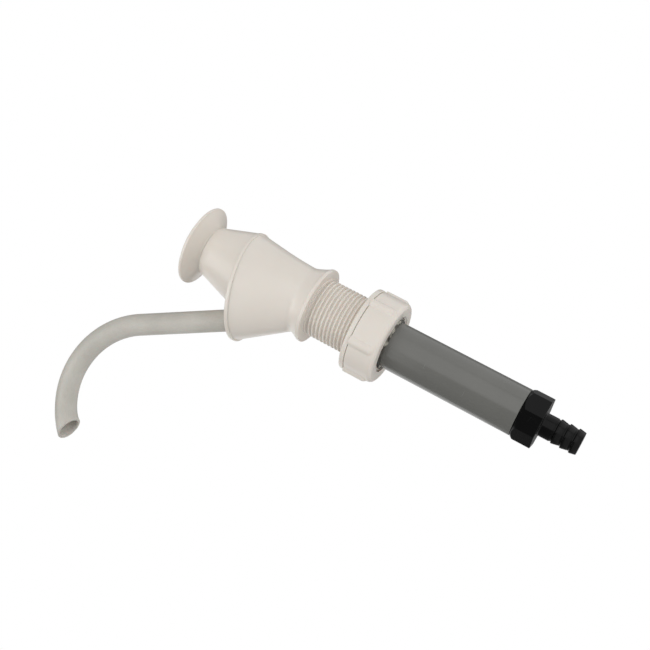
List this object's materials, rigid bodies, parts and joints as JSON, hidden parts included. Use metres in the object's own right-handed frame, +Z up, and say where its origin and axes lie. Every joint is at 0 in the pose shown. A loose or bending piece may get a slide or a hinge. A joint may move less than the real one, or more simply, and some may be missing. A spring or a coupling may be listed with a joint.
{
  "type": "manual bilge pump",
  "caption": "Through-deck hand plunger pump: mushroom knob, tilted head, gooseneck spout, threaded stem with ring nut, cylinder and barbed inlet.",
  "frame": {"origin": "centre of the deck flange's underside, on the plunger's axis, where the deck's top face lies", "axes": "+Z up along the plunger's axis towards the knob, +X towards the spout, +Y completes the right-hand set"},
  "size_m": [0.1603, 0.062, 0.2754],
  "materials": {
    "ivory_plastic": "satin moulded plastic, ivory white",
    "spout_plastic": "matt extruded tube, pale grey-white",
    "pipe_grey": "satin extruded PVC, mid grey",
    "black_plastic": "glossy moulded plastic, black",
    "seal_rubber": "matt nitrile rubber",
    "rod_steel": "drawn stainless steel",
    "nylon": "natural nylon",
    "cement": "dried solvent cement"
  },
  "bodies": {
    "housing": {"pump_body": "ivory_plastic", "head_cover": "ivory_plastic", "gland_bush": "nylon", "rod_seal": "seal_rubber", "gland_washer": "rod_steel", "spout_tube": "spout_plastic", "spout_seal_ring": "seal_rubber", "pump_cylinder": "pipe_grey", "cement_bead": "cement", "inlet_fitting": "black_plastic", "inlet_o_ring": "seal_rubber", "foot_valve_seat": "nylon", "foot_valve_cage": "nylon"},
    "plunger": {"plunger_knob": "ivory_plastic", "plunger_rod": "rod_steel", "piston_body": "nylon", "piston_seal_ring": "seal_rubber", "piston_washer": "rod_steel", "piston_lock_nut": "rod_steel", "valve_stop_clip": "rod_steel"},
    "piston_valve": {"piston_valve_disc": "seal_rubber"},
    "foot_valve": {"foot_valve_disc": "seal_rubber"},
    "clamp_washer": {"nut_washer": "ivory_plastic"},
    "clamp_nut": {"ring_nut": "ivory_plastic"}
  },
  "joints": [
    {"name": "plunger_pull", "type": "slide", "parent": "housing", "child": "plunger", "axis": [0, 0, 1], "range_m": [0, 0.079]},
    {"name": "piston_valve_lift", "type": "slide", "parent": "plunger", "child": "piston_valve", "axis": [0, 0, 1], "range_m": [0, 0.0025]},
    {"name": "foot_valve_lift", "type": "slide", "parent": "housing", "child": "foot_valve", "axis": [0, 0, 1], "range_m": [0, 0.0035]},
    {"name": "nut_travel", "type": "slide", "parent": "housing", "child": "clamp_washer", "axis": [0, 0, 1], "range_m": [-0.0133, 0.0261]},
    {"name": "nut_turn", "type": "hinge", "parent": "clamp_washer", "child": "clamp_nut", "pos_m": [0, 0, -0.0378], "axis": [0, 0, 1], "range_deg": [-2070, 4050]}
  ],
  "couplings": [
    {"joint": "nut_travel", "follows": "nut_turn", "m_per_rad": 0.00036749}
  ]
}
